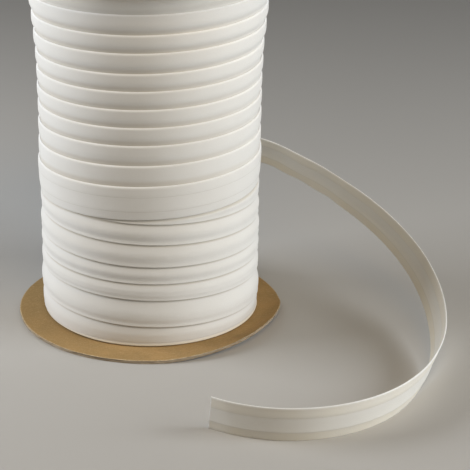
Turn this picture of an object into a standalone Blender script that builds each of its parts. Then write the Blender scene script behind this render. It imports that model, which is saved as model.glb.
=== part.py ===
"""A roll of bias tape: tape cross-wound on a spool between two card discs, with a long loose end.

Frame: metres, +Z up. The origin is on the roll's axis, on the surface that the lower disc lies on.
-Y is the front. Angles on the roll run from the front towards +X, so 90 degrees is the right side.

The tape is wound in two visible layers. The lower layer climbs the roll and shows the lower edge of
each turn. The upper layer comes down over it, shows the upper edge of each turn, ends in one wrap
of full width, and leaves the roll at the back as the loose end.
"""
import math

import bmesh
import bpy
import numpy as np
from mathutils import Vector

MM = 0.001

# Tape
TAPE_WIDTH = 25.4 * MM
TAPE_THICKNESS = 1.0 * MM
CLEARANCE = 0.3 * MM

# Card discs
DISC_RADIUS = 98.6 * MM
DISC_THICKNESS = 2.5 * MM
DISC_EDGE_ROUND = 0.4 * MM
DISC_SEGMENTS = 72
BEND_START_RADIUS = 84.0 * MM

# Winding
WINDING_BOTTOM = DISC_THICKNESS + CLEARANCE
WINDING_TOP = 266.0 * MM
SEGMENTS = 64
TURN_STEP = 0.8 * MM
EDGE_ROUND = 0.4 * MM
EDGE_SWAY = 0.4 * MM
TAPE_END_TURN = -164.0 / 360.0

# The lower layer ends inside the upper one, whose hidden underside is a shallow cone.
LOWER_LAYER_TOP = 131.0 * MM
UNDERSIDE_RADIUS = 74.0 * MM
UNDERSIDE_APEX = 112.0 * MM
FOOT_TUCK = 2.4 * MM
TOP_TUCK = 3.5 * MM
SHOULDER = 4.0 * MM
SHOULDER_ROUND = 1.5 * MM

# Turns of each layer at the front of the roll, from the bottom up, in millimetres:
# edge is the height of the edge that shows, crown is the turn's outer radius.
# The first row is one turn below the first whole one.
TURN_COLUMNS = ("edge", "crown")
LOWER_TURNS = (
    (2.4, 80.9),
    (18.4, 81.6),
    (38.8, 81.0),
    (51.5, 81.1),
    (64.8, 81.2),
    (81.7, 80.9),
    (97.3, 80.6),
    (113.0, 79.9),
    (129.0, 79.6),
)
UPPER_TURNS = (
    (111.5, 82.8),
    (126.1, 82.0),
    (141.1, 81.4),
    (155.9, 81.3),
    (169.0, 81.4),
    (182.2, 81.5),
    (195.3, 81.8),
    (207.9, 82.3),
    (222.6, 83.4),
    (235.7, 84.7),
    (250.5, 86.2),
    (264.5, 87.6),
)
LOWER_FIRST_TURN = -0.5
LOWER_TURN_COUNT = 7
UPPER_TURN_COUNT = 10

# Turns over which a layer's steps grow from nothing, or fade where the other layer hides them.
LOWER_STEPS_GROW = (-0.5, -0.25)
LOWER_STEPS_FADE = (5.8, 6.2)
UPPER_STEPS_FADE = (9.15, 9.5)

# Loose end, from the roll to the cut end: x, y and low place the tape's lower edge in millimetres,
# lean is the tape's tilt in degrees, with the top edge outwards where it is positive.
LOOSE_COLUMNS = ("x", "y", "low", "lean")
LOOSE_END = (
    (-2.0, 85.3, 93.1, -4.0),
    (13.5, 88.7, 92.7, -11.0),
    (40.0, 91.0, 91.4, -20.0),
    (71.0, 87.5, 88.0, -24.0),
    (96.0, 80.0, 82.0, -22.0),
    (123.0, 65.5, 72.5, -17.0),
    (147.0, 47.5, 62.0, -12.0),
    (165.5, 30.5, 52.5, -6.0),
    (183.5, 7.0, 41.0, 2.0),
    (196.5, -20.0, 29.5, 11.0),
    (202.5, -44.5, 21.0, 17.0),
    (204.5, -75.5, 13.0, 21.0),
    (202.5, -101.0, 7.0, 21.0),
    (195.0, -130.5, 2.0, 17.5),
    (181.5, -160.5, 0.0, 13.0),
    (165.5, -183.5, 0.0, 9.0),
    (141.0, -203.0, 0.0, 6.0),
    (112.0, -213.5, 0.0, 4.0),
    (85.5, -214.0, 0.0, 4.0),
    (59.0, -206.0, 0.0, 4.0),
    (44.0, -197.5, 0.0, 4.0),
)
LOOSE_STATIONS = 72
LOOSE_START_RADIUS = 82.5 * MM
LOOSE_ACROSS = (0.0, 0.2, 0.4, 0.6, 0.8, 1.0)

# The cut end slants: its upper corner lies back from its lower one.
CUT_SLANT = 3.4 * MM
CUT_SLANT_REACH = 30.0 * MM

# Soft dents in the loose end: place along it from the roll, place up its width as a share of it,
# half length and depth. A positive depth pushes the tape outwards.
DENT_COLUMNS = ("along", "across", "half_length", "depth")
DENTS = (
    (118.0, 0.45, 16.0, 1.3),
    (141.0, 0.55, 13.0, -1.0),
    (166.0, 0.40, 15.0, 0.8),
)

# The lower disc's rim is bent up at the front right: angle in degrees and lift in millimetres.
BEND_COLUMNS = ("angle", "lift")
RIM_BEND = (
    (8.0, 0.0),
    (25.0, 1.6),
    (45.0, 3.4),
    (62.0, 4.2),
    (80.0, 3.8),
    (92.0, 1.0),
    (105.0, 0.0),
)

TAPE_COLOUR = (0.78, 0.76, 0.71, 1.0)
CARD_COLOUR = (0.38, 0.27, 0.14, 1.0)


def clear_scene():
    """Empty the scene that the part is built in."""
    for item in list(bpy.data.objects):
        bpy.data.objects.remove(item, do_unlink=True)


def plain_material(name, colour, roughness):
    """A matte, non-metallic finish."""
    material = bpy.data.materials.new(name)
    material.use_nodes = True
    shader = material.node_tree.nodes["Principled BSDF"]
    shader.inputs["Base Color"].default_value = colour
    shader.inputs["Roughness"].default_value = roughness
    shader.inputs["Metallic"].default_value = 0.0
    return material


def add_object(name, bm, material):
    """Turn a closed mesh into a named object with its faces pointing out."""
    bmesh.ops.recalc_face_normals(bm, faces=bm.faces)
    mesh = bpy.data.meshes.new(name)
    bm.to_mesh(mesh)
    bm.free()
    mesh.shade_smooth()
    mesh.set_sharp_from_angle(angle=math.radians(35.0))
    item = bpy.data.objects.new(name, mesh)
    bpy.context.collection.objects.link(item)
    mesh.materials.append(material)
    return item


def column(rows, names, name):
    """One named column of a table."""
    return np.array(rows)[:, names.index(name)]


def smooth_between(places, values, at):
    """Read a smooth curve through the values of a table at the given places."""
    slopes = np.gradient(values, places)
    at = np.clip(at, places[0], places[-1])
    i = np.clip(np.searchsorted(places, at, side="right") - 1, 0, len(places) - 2)
    span = places[i + 1] - places[i]
    u = (at - places[i]) / span
    return (
        (2 * u**3 - 3 * u**2 + 1) * values[i]
        + (u**3 - 2 * u**2 + u) * span * slopes[i]
        + (3 * u**2 - 2 * u**3) * values[i + 1]
        + (u**3 - u**2) * span * slopes[i + 1]
    )


def ease(value, low, high):
    """Rise smoothly from 0 at low to 1 at high."""
    u = min(max((value - low) / (high - low), 0.0), 1.0)
    return u * u * (3.0 - 2.0 * u)


def on_roll(radius, angle, height):
    """A point at an angle from the front of the roll."""
    return Vector((radius * math.sin(angle), -radius * math.cos(angle), height))


def turn_value(rows, name, turn):
    """A turn table's value at a place along the helix, counted in turns from the front."""
    turns = np.arange(len(rows)) - 1.0
    return float(smooth_between(turns, column(rows, TURN_COLUMNS, name), turn)) * MM


def edge_height(rows, turn, angle):
    """Height of the edge that shows; the whole winding leans a little to the left."""
    return turn_value(rows, "edge", turn) + EDGE_SWAY * math.sin(angle)


def strip(left, right):
    """Quads that join two columns of points of equal length."""
    return [(left[i], right[i], right[i + 1], left[i + 1]) for i in range(len(left) - 1)]


def lower_layer():
    """The layer that climbs clockwise: each turn's lower edge stands out over the turn below."""
    bm = bmesh.new()
    feet, turns, caps = [], [], []
    for k in range(SEGMENTS):
        first = LOWER_FIRST_TURN + k / SEGMENTS
        angle = -2.0 * math.pi * first
        foot_radius = turn_value(LOWER_TURNS, "crown", 0.0) - TURN_STEP
        foot = [
            on_roll(foot_radius - FOOT_TUCK, angle, WINDING_BOTTOM),
            on_roll(foot_radius - FOOT_TUCK / 3.0, angle, WINDING_BOTTOM + SHOULDER_ROUND),
            on_roll(foot_radius, angle, WINDING_BOTTOM + SHOULDER),
        ]
        column_turns = []
        for j in range(LOWER_TURN_COUNT):
            turn = first + j
            edge = edge_height(LOWER_TURNS, turn, angle)
            pitch = edge_height(LOWER_TURNS, turn + 1.0, angle) - edge
            crown = turn_value(LOWER_TURNS, "crown", turn)
            shown = ease(turn, *LOWER_STEPS_GROW) * (1.0 - ease(turn, *LOWER_STEPS_FADE))
            column_turns.append([
                on_roll(crown - TURN_STEP, angle, edge),
                on_roll(crown - TURN_STEP * (1.0 - shown), angle, edge + EDGE_ROUND),
                on_roll(crown - TURN_STEP * (1.0 - shown), angle, edge + 0.5 * pitch),
            ])
        top_radius = turn_value(LOWER_TURNS, "crown", len(LOWER_TURNS) - 2.0) - TURN_STEP
        feet.append([bm.verts.new(p) for p in foot])
        turns.append([[bm.verts.new(p) for p in group] for group in column_turns])
        caps.append(bm.verts.new(on_roll(top_radius, angle, LOWER_LAYER_TOP)))

    for k in range(SEGMENTS - 1):
        left = feet[k] + sum(turns[k], []) + [caps[k]]
        right = feet[k + 1] + sum(turns[k + 1], []) + [caps[k + 1]]
        for quad in strip(left, right):
            bm.faces.new(quad)

    # At the back each turn meets the next one up, and the first and last turns start from nothing.
    last, start = SEGMENTS - 1, 0
    for quad in strip(feet[last], feet[start]):
        bm.faces.new(quad)
    bm.faces.new([
        feet[last][-1],
        feet[start][-1],
        *turns[start][0],
        turns[start][1][0],
        turns[last][0][0],
    ])
    for quad in strip(sum(turns[last][:-1], []), sum(turns[start][1:], [])):
        bm.faces.new(quad)
    bm.faces.new([
        turns[last][-2][-1],
        turns[start][-1][-1],
        caps[start],
        caps[last],
        *reversed(turns[last][-1]),
    ])
    bm.faces.new([foot[0] for foot in feet])
    bm.faces.new(caps)
    return bm


def band_points(turn, angle, crown):
    """The full-width wrap, from the hidden underside to just below its upper edge."""
    edge = edge_height(UPPER_TURNS, turn, angle)
    pitch = edge_height(UPPER_TURNS, turn + 1.0, angle) - edge
    low = edge - TAPE_WIDTH
    return [
        on_roll(UNDERSIDE_RADIUS, angle, low),
        on_roll(crown - 0.5 * TURN_STEP, angle, low),
        on_roll(crown - 0.3 * TURN_STEP, angle, low + TAPE_WIDTH - pitch),
        on_roll(crown, angle, low + TAPE_WIDTH - 0.6 * pitch),
    ]


def upper_layer():
    """The layer that comes down over the first: each turn's upper edge stands out."""
    bm = bmesh.new()
    bands, turns, caps = [], [], []
    for k in range(SEGMENTS):
        first = TAPE_END_TURN + k / SEGMENTS
        angle = 2.0 * math.pi * first
        crown = turn_value(UPPER_TURNS, "crown", first)
        bands.append([bm.verts.new(p) for p in band_points(first, angle, crown)])
        column_turns = []
        for j in range(UPPER_TURN_COUNT):
            turn = first + j
            edge = edge_height(UPPER_TURNS, turn, angle)
            pitch = edge_height(UPPER_TURNS, turn + 1.0, angle) - edge
            crown = turn_value(UPPER_TURNS, "crown", turn)
            above = turn_value(UPPER_TURNS, "crown", turn + 1.0)
            shown = 1.0 - ease(turn, *UPPER_STEPS_FADE)
            column_turns.append([
                on_roll(crown, angle, edge - EDGE_ROUND),
                on_roll(crown - TURN_STEP * shown, angle, edge),
                on_roll(above - 0.15 * TURN_STEP * shown, angle, edge + 0.4 * pitch),
            ])
        turns.append([[bm.verts.new(p) for p in group] for group in column_turns])
        rim = turn_value(UPPER_TURNS, "crown", len(UPPER_TURNS) - 2.0)
        caps.append([
            bm.verts.new(on_roll(rim, angle, WINDING_TOP - SHOULDER)),
            bm.verts.new(on_roll(rim - TOP_TUCK / 3.0, angle, WINDING_TOP - SHOULDER_ROUND)),
            bm.verts.new(on_roll(rim - TOP_TUCK, angle, WINDING_TOP)),
        ])

    for k in range(SEGMENTS - 1):
        left = bands[k] + sum(turns[k], []) + caps[k]
        right = bands[k + 1] + sum(turns[k + 1], []) + caps[k + 1]
        for quad in strip(left, right):
            bm.faces.new(quad)

    # Where the tape leaves the roll, the wrap ends in a step down to the turn that it covered.
    last, start = SEGMENTS - 1, 0
    end_turn = TAPE_END_TURN + 1.0
    end_angle = 2.0 * math.pi * end_turn
    end_low = edge_height(UPPER_TURNS, end_turn, end_angle) - TAPE_WIDTH
    end_radius = turn_value(UPPER_TURNS, "crown", end_turn) - 0.8 * TURN_STEP
    uncovered = [
        bm.verts.new(on_roll(UNDERSIDE_RADIUS, end_angle, end_low)),
        bm.verts.new(on_roll(end_radius, end_angle, end_low)),
        turns[start][0][1],
        turns[start][0][2],
        turns[start][1][0],
    ]
    for quad in strip(bands[last] + [turns[last][0][0]], uncovered):
        bm.faces.new(quad)
    bm.faces.new([*bands[start], *turns[start][0][:2], uncovered[1], uncovered[0]])
    for quad in strip(sum(turns[last][:-1], []), sum(turns[start][1:], [])):
        bm.faces.new(quad)
    bm.faces.new([
        turns[last][-2][-1],
        turns[start][-1][-1],
        caps[start][0],
        caps[last][0],
        *reversed(turns[last][-1]),
    ])
    for quad in strip(caps[last], caps[start]):
        bm.faces.new(quad)
    bm.faces.new([cap[-1] for cap in caps])

    apex = bm.verts.new((0.0, 0.0, UNDERSIDE_APEX))
    rim = [band[0] for band in bands] + [uncovered[0]]
    for k in range(len(rim)):
        bm.faces.new([apex, rim[k], rim[(k + 1) % len(rim)]])
    return bm


def wound_tape(material):
    """The roll's winding as one solid."""
    lower = add_object("wound_tape", lower_layer(), material)
    upper = add_object("upper_layer_guide", upper_layer(), material)
    upper.hide_render = True
    upper.display_type = "WIRE"
    union = lower.modifiers.new("Upper layer", "BOOLEAN")
    union.operation = "UNION"
    union.solver = "EXACT"
    union.object = upper


def loose_path():
    """Lower edge of the loose end as a smooth curve, with its leans, at even steps along it."""
    start_angle = 2.0 * math.pi * TAPE_END_TURN - CLEARANCE / LOOSE_START_RADIUS
    start_edge = edge_height(UPPER_TURNS, TAPE_END_TURN, start_angle) - TAPE_WIDTH
    start = on_roll(LOOSE_START_RADIUS, start_angle, start_edge)
    rows = [(start.x / MM, start.y / MM, start.z / MM, 0.0), *LOOSE_END]
    values = np.array(rows)
    places = np.concatenate([[0.0], np.cumsum(np.linalg.norm(np.diff(values[:, :3], axis=0), axis=1))])
    at = np.linspace(0.0, places[-1], LOOSE_STATIONS)
    points = np.stack([smooth_between(places, values[:, i], at) for i in range(3)], axis=1) * MM
    points[:, 2] = np.maximum(points[:, 2], 0.0)
    leans = np.radians(smooth_between(places, values[:, LOOSE_COLUMNS.index("lean")], at))
    return at * MM, points, leans


def dent_depth(along, across):
    """How far the dents push the loose end outwards at a point of it."""
    depth = 0.0
    for row in DENTS:
        dent = dict(zip(DENT_COLUMNS, row))
        u = (along / MM - dent["along"]) / dent["half_length"]
        v = (across - dent["across"]) / 0.45
        depth += dent["depth"] * MM * math.exp(-u * u - v * v)
    return depth


def loose_end(material):
    """The tape that has come off the roll, standing on its lower edge at the front."""
    places, points, leans = loose_path()
    tangents = np.gradient(points, axis=0)
    bm = bmesh.new()
    sections = []
    for along, point, direction, lean in zip(places, points, tangents, leans):
        tangent = Vector(direction).normalized()
        outward = Vector((0.0, 0.0, 1.0)).cross(tangent).normalized()
        upright = tangent.cross(outward).normalized()
        if upright.z < 0.0:
            upright.negate()
        rise = upright * math.cos(lean) + outward * math.sin(lean)
        face_out = outward * math.cos(lean) - upright * math.sin(lean)
        outer, inner = [], []
        slant = CUT_SLANT * ease(along, places[-1] - CUT_SLANT_REACH, places[-1])
        for share in LOOSE_ACROSS:
            middle = Vector(point) + rise * (TAPE_WIDTH * share) - tangent * (slant * share)
            middle += face_out * dent_depth(along, share)
            outer.append(middle + face_out * (0.5 * TAPE_THICKNESS))
            inner.append(middle - face_out * (0.5 * TAPE_THICKNESS))
        for foot in (outer[0], inner[0]):
            foot.z = 0.0 if point[2] < CLEARANCE else max(foot.z, 0.0)
        sections.append([bm.verts.new(p) for p in outer + inner[::-1]])
    for left, right in zip(sections, sections[1:]):
        for quad in strip(left + left[:1], right + right[:1]):
            bm.faces.new(quad)
    bm.faces.new(sections[0])
    bm.faces.new(sections[-1])
    return add_object("loose_end", bm, material)


def rim_lift(radius, angle):
    """How far the lower disc is bent up at a point of it."""
    angles = column(RIM_BEND, BEND_COLUMNS, "angle")
    lifts = column(RIM_BEND, BEND_COLUMNS, "lift")
    degrees = math.degrees(angle) % 360.0
    if degrees <= angles[0] or degrees >= angles[-1] or radius <= BEND_START_RADIUS:
        return 0.0
    reach = (radius - BEND_START_RADIUS) / (DISC_RADIUS - BEND_START_RADIUS)
    return max(float(smooth_between(angles, lifts, degrees)), 0.0) * MM * reach ** 1.5


def card_disc(name, base, bent, material):
    """A flat card disc with slightly rounded edges."""
    middle_radius = 0.5 * (BEND_START_RADIUS + DISC_RADIUS)
    low, high = base, base + DISC_THICKNESS
    profile = (
        (BEND_START_RADIUS, low),
        (middle_radius, low),
        (DISC_RADIUS - DISC_EDGE_ROUND, low),
        (DISC_RADIUS, low + DISC_EDGE_ROUND),
        (DISC_RADIUS, high - DISC_EDGE_ROUND),
        (DISC_RADIUS - DISC_EDGE_ROUND, high),
        (middle_radius, high),
        (BEND_START_RADIUS, high),
    )
    bm = bmesh.new()
    columns = []
    for k in range(DISC_SEGMENTS):
        angle = 2.0 * math.pi * k / DISC_SEGMENTS
        lift = [rim_lift(radius, angle) if bent else 0.0 for radius, height in profile]
        columns.append([
            bm.verts.new(on_roll(radius, angle, height + up))
            for (radius, height), up in zip(profile, lift)
        ])
    for k in range(DISC_SEGMENTS):
        for quad in strip(columns[k], columns[(k + 1) % DISC_SEGMENTS]):
            bm.faces.new(quad)
    bm.faces.new([points[0] for points in columns])
    bm.faces.new([points[-1] for points in columns])
    return add_object(name, bm, material)


def main():
    clear_scene()
    tape = plain_material("tape_cloth", TAPE_COLOUR, 0.85)
    card = plain_material("kraft_card", CARD_COLOUR, 0.9)
    wound_tape(tape)
    loose_end(tape)
    card_disc("bottom_flange", 0.0, True, card)
    card_disc("top_flange", WINDING_TOP + CLEARANCE, False, card)


main()
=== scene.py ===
"""A roll of bias tape: tape cross-wound on a spool between two card discs, with a long loose end.

Metres, +Z up, the roll's axis at the origin and -Y the front. Angles on the roll run from the front
towards +X. Heights, radii and places in the tables are in millimetres.
"""
import math

import bmesh
import bpy
import numpy as np
from mathutils import Matrix, Vector, noise


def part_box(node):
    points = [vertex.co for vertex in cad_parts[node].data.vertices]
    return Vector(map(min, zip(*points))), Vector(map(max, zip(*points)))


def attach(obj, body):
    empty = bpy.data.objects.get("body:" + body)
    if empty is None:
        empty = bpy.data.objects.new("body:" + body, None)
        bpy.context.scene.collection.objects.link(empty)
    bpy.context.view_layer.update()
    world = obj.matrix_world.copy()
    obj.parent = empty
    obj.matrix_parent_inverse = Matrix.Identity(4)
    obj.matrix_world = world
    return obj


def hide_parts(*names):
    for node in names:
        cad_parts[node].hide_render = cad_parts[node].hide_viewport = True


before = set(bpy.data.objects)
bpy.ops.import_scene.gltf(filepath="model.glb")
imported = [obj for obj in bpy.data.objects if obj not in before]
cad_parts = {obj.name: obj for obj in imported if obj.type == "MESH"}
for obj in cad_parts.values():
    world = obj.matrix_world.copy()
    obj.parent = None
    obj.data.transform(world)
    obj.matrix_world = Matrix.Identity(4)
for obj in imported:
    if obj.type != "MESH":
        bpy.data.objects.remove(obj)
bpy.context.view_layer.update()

bl_info = {
    "name": "Roll of bias tape",
    "version": (1, 0, 0),
    "blender": (4, 5, 0),
    "location": "View3D > Sidebar > Bias tape",
    "description": "Builds the wound tape, its loose end, the two card discs and the studio",
    "category": "Add Mesh",
}

MM = 0.001
TAPE_WIDTH = 25.4
DISC_RADIUS = 98.6

# Turns of each layer at the front of the roll, from the bottom up. The first row is one turn below
# the first whole one: height of the edge that shows, then the turn's outer radius. The lower layer's
# turns also have a hollow above that edge: how high it is, and how strong.
LOWER_TURNS = np.array([
    (2.4, 80.9, 4.0, 0.2),
    (18.4, 81.6, 4.6, 1.05),
    (38.8, 81.0, 3.0, 0.65),
    (51.5, 81.1, 4.8, 1.4),
    (64.8, 81.2, 5.6, 0.95),
    (81.7, 80.9, 5.0, 1.5),
    (97.3, 80.6, 4.0, 1.0),
    (113.0, 79.9, 4.0, 1.0),
    (129.0, 79.6, 4.0, 1.0),
])
UPPER_TURNS = np.array([
    (111.5, 82.8),
    (126.1, 82.0),
    (141.1, 81.4),
    (155.9, 81.3),
    (169.0, 81.4),
    (182.2, 81.5),
    (195.3, 81.8),
    (207.9, 82.3),
    (222.6, 83.4),
    (235.7, 84.7),
    (250.5, 86.2),
    (264.5, 87.6),
])
EDGE, CROWN, HOLLOW_HEIGHT, HOLLOW = 0, 1, 2, 3
EDGE_SWAY = 0.4

# Where each layer's strip starts and ends, in turns from the front. The upper layer starts where the
# loose end leaves the roll. The lower layer comes out to its full radius in its first half turn.
TAPE_END_TURN, UPPER_LAST_TURN = -164.0 / 360.0, 11.0
LOWER_FIRST_TURN, LOWER_RISEN_TURN, LOWER_LAST_TURN = -1.98, -1.5, 6.3
# Mean radius of each layer, which gives lengths along the tape, and how far a turn goes under the next.
UPPER_RADIUS, LOWER_RADIUS = 82.0, 81.0
LAP = 4.0

# The lowest and highest place of a tape edge.
LOWEST_EDGE, HIGHEST_EDGE = 3.0, 265.7
# How far the winding tucks in beside the discs, by height. Just above the lower disc a fold of the
# lowest turn makes a fine line.
FOOT = np.array([
    (2.5, 0.9), (2.9, 0.25), (3.4, 0.1), (4.3, 0.3), (5.16, 0.7),
    (6.0, 0.42), (8.0, 0.35), (12.0, 0.15), (17.0, 0.0), (300.0, 0.0),
])
FOOT_LINE, FOOT_LINE_REACH = 5.16, 0.87
SHOULDER = np.array([(0.0, 0.0), (262.0, 0.0), (264.5, 1.2), (266.0, 3.5)])

# The outer face of the full-width wrap: distance below its upper edge and offset from the crown.
WRAP_FACE = np.array([
    (0.0, -0.05), (2.5, 0.0), (7.0, -0.02), (8.2, -0.12), (13.0, -0.32),
    (18.4, -0.62), (20.0, -0.86), (23.0, -1.3), (25.4, -1.6),
])
# The upper layer's other turns: share of the way down to the next edge, and share of the fall from
# the turn's own crown to the face that goes under the next turn.
UPPER_FACE = np.array([
    (0.0, 0.04), (0.15, 0.0), (0.36, 0.01), (0.5, 0.06), (0.62, 0.2),
    (0.74, 0.48), (0.86, 0.84), (0.95, 0.98), (1.0, 1.0), (1.4, 1.0),
])
# The lower layer: distance above the turn's lower edge, as a share of its hollow's height, and offset
# from the crown.
LOWER_FACE = np.array([
    (0.0, -0.5), (0.2, -0.7), (0.42, -0.8), (0.64, -0.72), (0.85, -0.5),
    (1.05, -0.26), (1.27, -0.07), (1.55, 0.0), (1.9, 0.0), (9.0, 0.0),
])
# How far under the next turn's crown each layer's cloth lies where that turn covers it.
UNDER_UPPER, UNDER_LOWER = 1.35, 2.0
# Under the full-width wrap the lower layer starts to sink and is fully pressed in at these distances
# below the wrap's lower edge, and stays this far behind the wrap's inner face.
WRAP_SINK, WRAP_PRESSED, WRAP_CLEARANCE = 2.6, 0.2, 0.08

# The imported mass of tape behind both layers.
INNER_RADIUS, INNER_LOW, INNER_HIGH = 77.6, 3.2, 265.6

# A folded edge from its tip to the face: share of the fold's depth in from the face, and share of
# its height.
FOLD = np.array([
    (1.0, 0.0),
    (0.77, 0.1),
    (0.52, 0.28),
    (0.26, 0.54),
    (0.07, 0.82),
])

# Loose end, from the roll to the cut end: x, y and height of the tape's lower edge, and the tape's
# lean in degrees, with the top edge outwards where it is positive.
LOOSE_END = (
    (-2.0, 85.3, 93.1, -4.0),
    (13.5, 88.7, 92.7, -11.0),
    (40.0, 91.0, 91.4, -20.0),
    (71.0, 87.5, 88.0, -24.0),
    (96.0, 80.0, 82.0, -22.0),
    (123.0, 65.5, 72.5, -17.0),
    (147.0, 47.5, 62.0, -12.0),
    (165.5, 30.5, 52.5, -6.0),
    (183.5, 7.0, 41.0, 2.0),
    (196.5, -20.0, 29.5, 11.0),
    (202.5, -44.5, 21.0, 17.0),
    (204.5, -75.5, 13.0, 21.0),
    (202.5, -101.0, 7.0, 21.0),
    (195.0, -130.5, 2.0, 17.5),
    (181.5, -160.5, 0.0, 13.0),
    (165.5, -183.5, 0.0, 9.0),
    (141.0, -203.0, 0.0, 6.0),
    (112.0, -213.5, 0.0, 4.0),
    (85.5, -214.0, 0.0, 4.0),
    (59.0, -206.0, 0.0, 4.0),
    (44.0, -197.5, 0.0, 4.0),
)
LOOSE_START_RADIUS = 82.5
# How far the cut end leans back at its top, and the length over which the tape takes that slant.
CUT_SLANT, CUT_SLANT_REACH = 3.4, 30.0

# Faces of the loose end: distance below its upper edge and offset from the middle of the tape.
LOOSE_OUTER = np.array([
    (0.0, 0.58), (2.5, 0.46), (7.8, 0.4), (8.5, 0.26), (9.6, 0.3), (14.0, 0.3),
    (17.8, 0.38), (18.6, 0.46), (19.4, 0.26), (21.0, -0.06), (23.2, -0.3), (25.4, -0.42),
])
LOOSE_INNER = np.array([
    (0.0, 0.56), (2.5, 0.44), (7.6, 0.4), (8.4, 0.12), (12.0, 0.08),
    (16.6, 0.12), (17.4, 0.4), (20.0, 0.5), (23.0, 0.85), (25.4, 1.02),
])

# Soft dents in the loose end: place along it, place up its width, half length and depth outwards.
DENTS = (
    (118.0, 0.45, 16.0, 1.3),
    (141.0, 0.55, 13.0, -1.0),
    (166.0, 0.40, 15.0, 0.8),
)

# The lower disc's rim is bent up at the front right: angle in degrees and lift.
RIM_BEND = np.array([
    (8.0, 0.0), (25.0, 2.0), (45.0, 4.8), (62.0, 6.4),
    (80.0, 5.4), (88.0, 4.0), (97.0, 0.8), (106.0, 0.0),
])
BEND_START_RADIUS = 83.0

# The lower disc sits a little off the roll's axis, towards the front.
DISC_SHIFT = 4.5
# Widths of the rings of faces from a disc's rim inwards.
DISC_RINGS = (0.5, 0.8, 1.4, 2.0, 2.5, 3.0, 3.6, 12.0, 30.0)

# Colours that belong to a pattern rather than to a whole surface.
THREAD_GAP = (0.62, 0.59, 0.53, 1.0)
DARK_FIBRE, PALE_FIBRE = (0.16, 0.095, 0.045, 1.0), (0.66, 0.5, 0.31, 1.0)
CUT_LAYER, WORN_RIM = (0.2, 0.15, 0.1, 1.0), (0.7, 0.56, 0.38, 1.0)

# Lamps: place and size in metres, and colour. All face one point of the roll.
LAMPS = {
    "left_light": ((-1.07, 0.01, 0.54), (0.7, 0.6), (0.93, 0.963, 1.0)),
    "right_light": ((1.53, -0.51, 0.655), (1.05, 0.9), (0.905, 0.955, 1.0)),
    "top_light": ((0.32, -0.8, 1.25), (0.8, 0.5), (1.0, 0.735, 0.39)),
}
LAMP_AIM = Vector((0.0, 0.0, 0.13))
ROOM_COLOUR = (1.0, 0.94, 0.86, 1.0)

# The camera's place in metres, and its angles in degrees: down, to the right, and rolled.
CAMERA_PLACE = (0.0422, -1.265, 0.578)
CAMERA_ANGLES = (22.37, 0.96, 0.85)


# Shapes of the tape

def smooth_between(places, values, at):
    """Read a smooth curve through the values of a table at the given places."""
    slopes = np.gradient(values, places)
    at = np.clip(at, places[0], places[-1])
    i = np.clip(np.searchsorted(places, at, side="right") - 1, 0, len(places) - 2)
    span = places[i + 1] - places[i]
    u = (at - places[i]) / span
    return (
        (2 * u**3 - 3 * u**2 + 1) * values[i]
        + (u**3 - 2 * u**2 + u) * span * slopes[i]
        + (3 * u**2 - 2 * u**3) * values[i + 1]
        + (u**3 - u**2) * span * slopes[i + 1]
    )


def read(table, at):
    """Read a table of two columns as a smooth curve."""
    return smooth_between(table[:, 0], table[:, 1], at)


def ease(value, low, high):
    """Rise smoothly from 0 at low to 1 at high."""
    u = np.clip((value - low) / (high - low), 0.0, 1.0)
    return u * u * (3.0 - 2.0 * u)


def mix(first, second, share):
    """A value between two others."""
    return first + (second - first) * share


def on_roll(radius, angle, height):
    """Points at angles from the front of the roll. An angle may stand for a whole row of points."""
    return np.stack([radius * np.sin(angle), -radius * np.cos(angle), height], axis=-1)


def turn_value(table, what, turn):
    """A turn table's value along the helix, counted in turns from the front."""
    return smooth_between(np.arange(len(table)) - 1.0, table[:, what], turn)


def turn_edge(table, turn, angle):
    """Height of the edge that shows, uneven as hand-guided tape is, and kept between the discs."""
    uneven = 0.22 * np.sin(2.3 * turn + 1.1) * np.sin(angle) ** 2 + 0.12 * np.sin(7.4 * turn)
    edge = turn_value(table, EDGE, turn) + EDGE_SWAY * np.sin(angle) + uneven
    return np.clip(edge, LOWEST_EDGE, HIGHEST_EDGE)


def fold_angles(first, last, count):
    """Steps round a fold, in radians."""
    return np.radians(np.linspace(first, last, count))


def tape_section(extent, thickness, upper_fold, lower_fold, face_rows):
    """Points round a strip of tape: distance from its upper edge, and depth in from its outer face.

    Each fold has a depth and a height.
    """
    extent = np.asarray(extent, dtype=float)[:, None]
    upper, lower = FOLD * upper_fold, FOLD[::-1] * lower_fold
    high, low = upper_fold[1], lower_fold[1]
    face = np.linspace(0.0, 1.0, face_rows)
    inside = np.array([0.8, 0.5, 0.2])
    turned = np.array([0.05, 0.3])
    place = [
        np.broadcast_to(upper[:, 1], (len(extent), len(FOLD))),
        high + face * (extent - high - low),
        extent - lower[:, 1],
        extent - turned * low,
        high + inside * (extent - high - low),
        np.broadcast_to(turned[::-1] * high, (len(extent), len(turned))),
    ]
    depth = np.concatenate([
        upper[:, 0],
        np.zeros(face_rows),
        lower[:, 0],
        (mix(lower_fold[0], thickness, 0.7), thickness),
        np.full(len(inside), thickness),
        (thickness, mix(upper_fold[0], thickness, 0.7)),
    ])
    return np.concatenate(place, axis=1), depth[None, :]


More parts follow.
